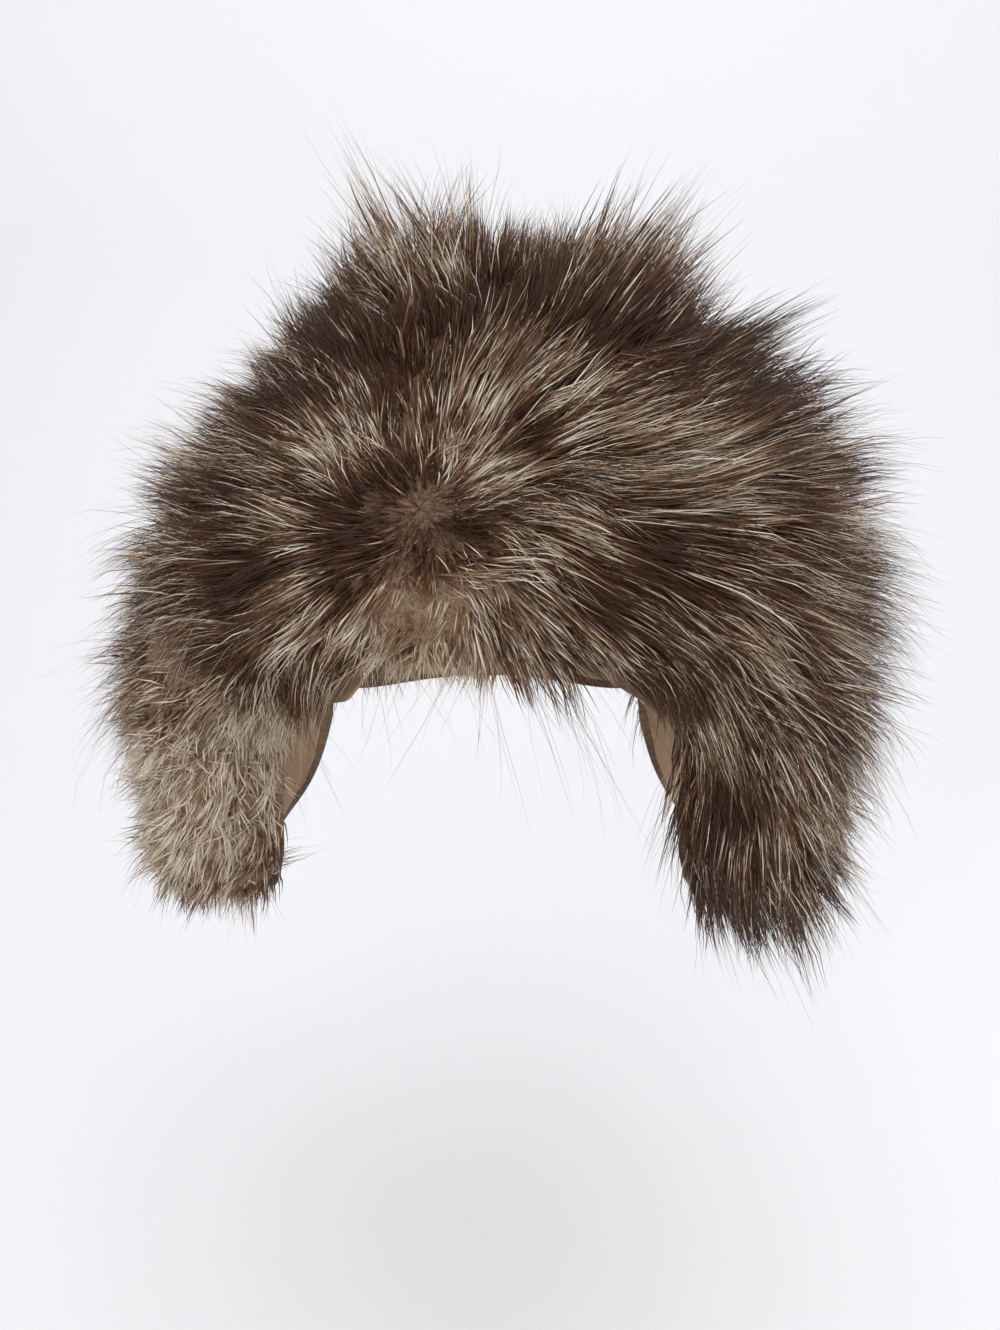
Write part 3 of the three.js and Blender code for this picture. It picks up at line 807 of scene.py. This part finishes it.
def close_fur(settings):
    """Fox underfur: dense, matt and woolly, a soft brown nap combed the same way as the hair over it.

    The nap is the sum of five noises, each a step further along the combed way, which draws it out."""
    material = new_material("fox_underfur")
    place = add_node(material, "ShaderNodeTexCoord")
    combed_way = add_node(material, "ShaderNodeAttribute", attribute_name="combed")
    total = -0.3
    for step in range(-2, 3):
        away = add_node(material, "ShaderNodeVectorMath",
                        {0: combed_way.outputs["Vector"], "Scale": step * 0.9 * MM}, operation="SCALE")
        moved = add_node(material, "ShaderNodeVectorMath",
                         {0: place.outputs["Object"], 1: away.outputs["Vector"]}, operation="ADD")
        nap = add_node(material, "ShaderNodeTexNoise",
                       {"Vector": moved.outputs["Vector"], "Scale": 1100, "Detail": 2, "Roughness": 0.7})
        total = add_value(material, "MULTIPLY_ADD", nap.outputs["Fac"], 0.6, total)
    # The nap lies around 1.2, half the tone is added to it, and the ramp runs from 0.8 to 2
    tone = add_node(material, "ShaderNodeAttribute", attribute_name="tone")
    both = add_value(material, "MULTIPLY_ADD", tone.outputs["Fac"], 0.5, total)
    level = add_node(material, "ShaderNodeMapRange", {"Value": both, "From Min": 0.8, "From Max": 2.0})
    dark, brown, cream = hair_tones(settings)
    woolly = mix(brown, brown.mean(), 0.2)
    colours = add_ramp(material, level.outputs["Result"], (
        (0.0, dark), (0.3, mix(dark, woolly, 0.2)), (0.6, mix(woolly, cream, 0.08)),
        (1.0, mix(woolly, cream, 0.4))))
    bump = add_node(material, "ShaderNodeBump", {"Height": total, "Strength": 0.7, "Distance": 0.002})
    return finish_material(material, {"Base Color": colours, "Normal": bump.outputs["Normal"],
                                      "Roughness": 0.95})


def pelt_suede(settings):
    """The suede side of a tanned pelt: matt, with a short nap and a faint mottling from the tanning."""
    material = new_material("tanned_pelt_suede")
    place = add_node(material, "ShaderNodeTexCoord").outputs["Object"]
    nap = add_node(material, "ShaderNodeTexNoise", {"Vector": place, "Scale": 900, "Detail": 4})
    mottle = add_node(material, "ShaderNodeTexNoise", {"Vector": place, "Scale": 26, "Detail": 4})
    suede = np.array(settings.suede)
    colours = add_ramp(material, mottle.outputs["Fac"],
                       ((0.3, suede * 0.66), (0.5, suede), (0.7, np.minimum(suede * 1.35, 1))))
    bump = add_node(material, "ShaderNodeBump",
                    {"Height": nap.outputs["Fac"], "Strength": 0.35, "Distance": 0.0006})
    return finish_material(material, {"Base Color": colours, "Normal": bump.outputs["Normal"],
                                      "Roughness": 0.92})


def studio_white(settings):
    """Matt white backdrop paper."""
    return finish_material(new_material("backdrop_paper"),
                           {"Base Color": (*settings.backdrop, 1), "Roughness": 0.9})


def one_of(name, make):
    """The material of that name, made from the settings the first time it is asked for."""
    return bpy.data.materials.get(name) or make(bpy.context.scene.fur_hat)


# Pieces

def finish_piece(piece, material, node):
    """Gives a piece of fur its material and slot, and the solid that it replaces, riding on the hat."""
    piece.data.materials.append(material)
    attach(piece, "root")
    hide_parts(node)


def make_body(name, solid, node, hang_from):
    """A piece of close fur from a closed shell, in place of its plain solid."""
    points, faces = solid
    piece = put_mesh(name, points, outward_faces(points, faces))
    normals = swell_normal(points)
    way = hair_direction(points, normals, hang_at(points, hang_from), 1)[0]
    for attribute, kind, field, values in (("tone", "FLOAT", "value", paleness(points, normals)),
                                           ("combed", "FLOAT_VECTOR", "vector", way)):
        stored = piece.data.attributes.new(attribute, kind, "POINT")
        stored.data.foreach_set(field, values.astype(np.float32).ravel())
    finish_piece(piece, one_of("fox_underfur", close_fur), node)


def make_hair(name, surface, count, hang_from, seed, node, layer, locks, trimmed=False):
    """One layer of hair grown over a surface of close fur, as one mesh of closed hairs.

    Trimmed hair ends about level with the nape's hem."""
    settings = bpy.context.scene.fur_hat
    rng = np.random.default_rng(seed)
    count = int(count * settings.fullness)
    roots, normals = scatter(surface, count, rng, layer["sparse"])
    owner = nearest(roots, locks["roots"])
    stretch = rng.uniform(*layer["stretch"], count) * locks["stretch"][owner] * settings.length_share
    nodes = grow(roots, normals, hang_at(roots, hang_from), layer["segments"], stretch,
                 locks["lean"][owner], rng)
    nodes = gather(nodes, stretch, locks, owner, layer["segments"], rng)
    low, high = np.array(CAD_BOX) / MM
    allowance = (high - low) * STAND_SHARE + STAND_PROUD
    low = np.tile(low - allowance, (count, 1, 1))
    if trimmed:
        low[:, 0, 2] = rng.uniform(-2, 5, count) - NAPE_DEPTH - EDGE_FUR
    nodes = keep_within(nodes, low, high + allowance)
    broad = mix(1, np.clip(30 / combed(roots)[:, 3], 1, 2), facing(roots, normals) * layer["broadens"])
    radius = rng.uniform(0.7, 1.25, count) * layer["width"] * settings.hair_width / MM / 2 * broad
    points, faces, one = needles(nodes, normals, radius, layer["flatness"])
    piece = put_mesh(name, points, faces)
    chart = piece.data.uv_layers.new(name="OFBake")
    colours = hair_colours(nodes, normals, locks, owner, one, layer, rng)
    chart.data.foreach_set("uv", colours.astype(np.float32).ravel())
    finish_piece(piece, one_of("fox_guard_hair", guard_hair), node)


# The layers of hair: long single guard hairs, flat wisps of several hairs, short wisps under them, and the
# fine fringe over the brow. stretch is a share of the combed length, width a share of a guard hair's,
# silver how much of the markings turns silver, streaks the width on the colour chart, broadens how much
# wider short hair is, and sparse how much thinner it grows where it is only fuzz.
GUARD = {"segments": 4, "stretch": (0.75, 1.12), "width": 1.0, "flatness": 1.0, "silver": 1.15,
         "streaks": 0.006, "broadens": 0, "sparse": 0.85}
WISP = {"segments": 3, "stretch": (0.6, 0.95), "width": 3.2, "flatness": 0.3, "silver": 0.8,
        "streaks": 0.05, "broadens": 0.3, "sparse": 0.9}
UNDER = {"segments": 2, "stretch": (0.4, 0.7), "width": 3.4, "flatness": 0.35, "silver": 0.55,
         "streaks": 0.05, "broadens": 0.6, "sparse": 0.0}
FRINGE = {"segments": 4, "stretch": (1.1, 2.8), "width": 0.7, "flatness": 1.0, "silver": 0.2,
          "streaks": 0.006, "broadens": 0, "sparse": 0.0}
LAYERS = (("guard_hair", GUARD), ("wisps", WISP), ("underhair", UNDER))

# Each part of the fur: its counts of hairs, layer by layer, and its seed
CROWN_SECTORS = (("front", (3800, 4500, 6900), 11), ("left", (3000, 3700, 5600), 12),
                 ("back", (1700, 2300, 3600), 13), ("right", (2900, 3400, 5300), 14))
FLAPS = (("left_flap", LEFT_FLAP, (1500, 2300, 4300), 51),
         ("right_flap", RIGHT_FLAP, (1500, 2300, 4300), 52),
         ("nape", NAPE, (800, 1100, 1600), 53))
FRINGE_COUNT = 340
LOCKS_ON_CROWN = 1500
LOCKS_ON_FLAP = {"left_flap": 700, "right_flap": 700, "nape": 200}


def colour_property(name, description, hex_colour):
    """A colour that can be changed in the panel."""
    return FloatVectorProperty(name=name, description=description, size=3, subtype="COLOR", min=0, max=1,
                               default=linear(hex_colour))


class FurHatSettings(bpy.types.PropertyGroup):
    """Sizes, shares and colours that change the fur and the studio."""
    length_share: FloatProperty(name="Hair length", description="Share of the combed length of the hair",
                                default=1.0, min=0.3, max=1.3, subtype="FACTOR")
    fullness: FloatProperty(name="Fullness", description="Share of the full number of hairs", default=1.0,
                            min=0.05, max=1.0, subtype="FACTOR")
    hair_width: FloatProperty(name="Hair width", description="Width of a guard hair near its root",
                              default=0.22 * MM, min=0.1 * MM, max=2 * MM, unit="LENGTH", precision=5)
    floor_height: FloatProperty(name="Floor height", description="Height of the floor under the hat",
                                default=-0.4, unit="LENGTH")
    backdrop_distance: FloatProperty(name="Backdrop distance", default=1.1, unit="LENGTH",
                                     description="How far behind the hat the wall is")
    dark_hair: colour_property("Dark hair", "Colour of the darkest guard hair", "#341e12")
    brown_hair: colour_property("Brown hair", "Colour of the brown hair and underfur", "#825839")
    cream_hair: colour_property("Cream hair", "Colour of the silver bands", "#e8d7b7")
    suede: colour_property("Suede", "Colour of the suede side of the pelt", "#a68a6c")
    backdrop: colour_property("Backdrop", "Colour of the backdrop paper", "#f3f3f5")
    key_power: FloatProperty(name="Light", description="The power that each light has its own share of",
                             default=10.5, unit="POWER")


class FURHAT_OT_stage(bpy.types.Operator):
    """Sets up the camera, the seamless backdrop and the soft lights"""
    bl_idname = "furhat.stage"
    bl_label = "Stage"

    def execute(self, context):
        settings = context.scene.fur_hat
        camera = add_object("camera", bpy.data.cameras.new("camera"))
        camera.location = CAMERA_PLACE * MM
        camera.rotation_euler = (math.pi / 2 + CAMERA_PITCH, 0, 0)
        camera.data.lens = FOCAL_PIXELS / FRAME_HEIGHT * SENSOR
        camera.data.sensor_width = SENSOR
        context.scene.camera = camera
        context.scene.view_settings.view_transform = "Standard"

        # The backdrop's side view: level floor, a quarter round of half a metre, and the wall
        bend = 0.5
        angle = np.linspace(0, math.pi / 2, 25)
        run = np.concatenate(([-2.0], settings.backdrop_distance - bend + bend * np.sin(angle),
                              [settings.backdrop_distance]))
        rise = np.concatenate(([0.0], bend - bend * np.cos(angle), [3.0]))
        aside, row = np.meshgrid(np.linspace(-2.5, 2.5, 3), np.arange(len(run)), indexing="ij")
        points = np.stack((aside, run[row], rise[row] + settings.floor_height), axis=-1) / MM
        index = np.arange(row.size).reshape(row.shape)
        floor = put_mesh("backdrop", points.reshape(-1, 3), grid_faces(index, False))
        floor.data.materials.append(one_of("backdrop_paper", studio_white))

        for name, place, size, share in (("overhead", (0.1, -0.55, 1.25), 2.2, 0.95),
                                         ("front", (-0.5, -1.3, 0.7), 1.2, 0.55),
                                         ("side", (1.2, -0.5, 0.5), 0.9, 0.3),
                                         ("backdrop", (0.0, 0.2, 1.6), 1.8, 0.6)):
            light = add_object(name, bpy.data.lights.new(name, "AREA"))
            light.data.shape = "DISK"
            light.data.size = size
            light.data.energy = settings.key_power * share
            light.location = place
            x, y, z = np.subtract((0, 0.9, 0.2) if name == "backdrop" else (0, 0, -0.05), place)
            light.rotation_euler = (math.atan2(math.hypot(x, y), -z), 0, math.atan2(y, x) - math.pi / 2)
        world = bpy.data.worlds.new("studio")
        world.use_nodes = True
        background = world.node_tree.nodes["Background"].inputs
        background["Color"].default_value = (*linear("#f5f6f8"), 1)
        background["Strength"].default_value = 0.58
        context.scene.world = world
        return {"FINISHED"}


class FURHAT_OT_pelt(bpy.types.Operator):
    """Gives the pelt's skins their suede"""
    bl_idname = "furhat.pelt"
    bl_label = "Suede side of the pelt"

    def execute(self, context):
        suede = one_of("tanned_pelt_suede", pelt_suede)
        for name in ("crown_skin", "left_flap_skin", "right_flap_skin", "nape_skin"):
            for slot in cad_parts[name].material_slots:
                slot.material = suede
        return {"FINISHED"}


class FURHAT_OT_close_fur(bpy.types.Operator):
    """Makes the close fur of the crown, the flaps and the nape"""
    bl_idname = "furhat.close_fur"
    bl_label = "Close fur"

    def execute(self, context):
        make_body("crown_close_fur", crown_body(), "crown_fur", CROWN_HANG)
        for name, flap, _, _ in FLAPS:
            make_body(f"{name}_close_fur", flap_body(flap), f"{name}_fur", FLAP_HANG)
        return {"FINISHED"}


class FURHAT_OT_crown_hair(bpy.types.Operator):
    """Grows the guard hair of the crown, in four sectors, and the fringe over the brow"""
    bl_idname = "furhat.crown_hair"
    bl_label = "Crown hair"

    def execute(self, context):
        corners = np.radians((-45, 45, 125, 235, 315))
        locks = make_locks(crown_surface(-math.pi, math.pi), LOCKS_ON_CROWN, CROWN_HANG, 5)
        for (name, counts, seed), first, last in zip(CROWN_SECTORS, corners, corners[1:]):
            for number, (kind, layer) in enumerate(LAYERS):
                make_hair(f"crown_{kind}_{name}", crown_surface(first, last), counts[number], CROWN_HANG,
                          seed + 10 * number, "crown_fur", layer, locks, name == "back")
        make_hair("crown_fringe", fringe_surface, FRINGE_COUNT, CROWN_HANG, 61, "crown_fur", FRINGE, locks)
        return {"FINISHED"}


class FURHAT_OT_flap_hair(bpy.types.Operator):
    """Grows the guard hair of the two flaps and the nape"""
    bl_idname = "furhat.flap_hair"
    bl_label = "Flap and nape hair"

    def execute(self, context):
        for name, flap, counts, seed in FLAPS:
            locks = make_locks(flap_surface(flap), LOCKS_ON_FLAP[name], FLAP_HANG, seed + 40)
            for number, (kind, layer) in enumerate(LAYERS):
                make_hair(f"{name}_{kind}", flap_surface(flap), counts[number], FLAP_HANG,
                          seed + 10 * number, f"{name}_fur", layer, locks, name == "nape")
        return {"FINISHED"}


class FURHAT_PT_panel(bpy.types.Panel):
    """The hat's settings and its pieces"""
    bl_idname = "FURHAT_PT_panel"
    bl_label = "Fur Hat"
    bl_space_type = "VIEW_3D"
    bl_region_type = "UI"
    bl_category = "Fur Hat"

    def draw(self, context):
        settings = context.scene.fur_hat
        for name in FurHatSettings.__annotations__:
            self.layout.prop(settings, name)
        for step in STEPS:
            self.layout.operator(step.bl_idname)


STEPS = (FURHAT_OT_stage, FURHAT_OT_pelt, FURHAT_OT_close_fur, FURHAT_OT_crown_hair, FURHAT_OT_flap_hair)
CLASSES = (FurHatSettings, *STEPS, FURHAT_PT_panel)


def register():
    for one in CLASSES:
        bpy.utils.register_class(one)
    bpy.types.Scene.fur_hat = PointerProperty(type=FurHatSettings)


def unregister():
    del bpy.types.Scene.fur_hat
    for one in reversed(CLASSES):
        bpy.utils.unregister_class(one)


def main():
    """Dresses the frame."""
    register()
    bpy.ops.furhat.stage()
    bpy.ops.furhat.pelt()
    bpy.ops.furhat.close_fur()
    bpy.ops.furhat.crown_hair()
    bpy.ops.furhat.flap_hair()


if __name__ == "__main__":
    main()
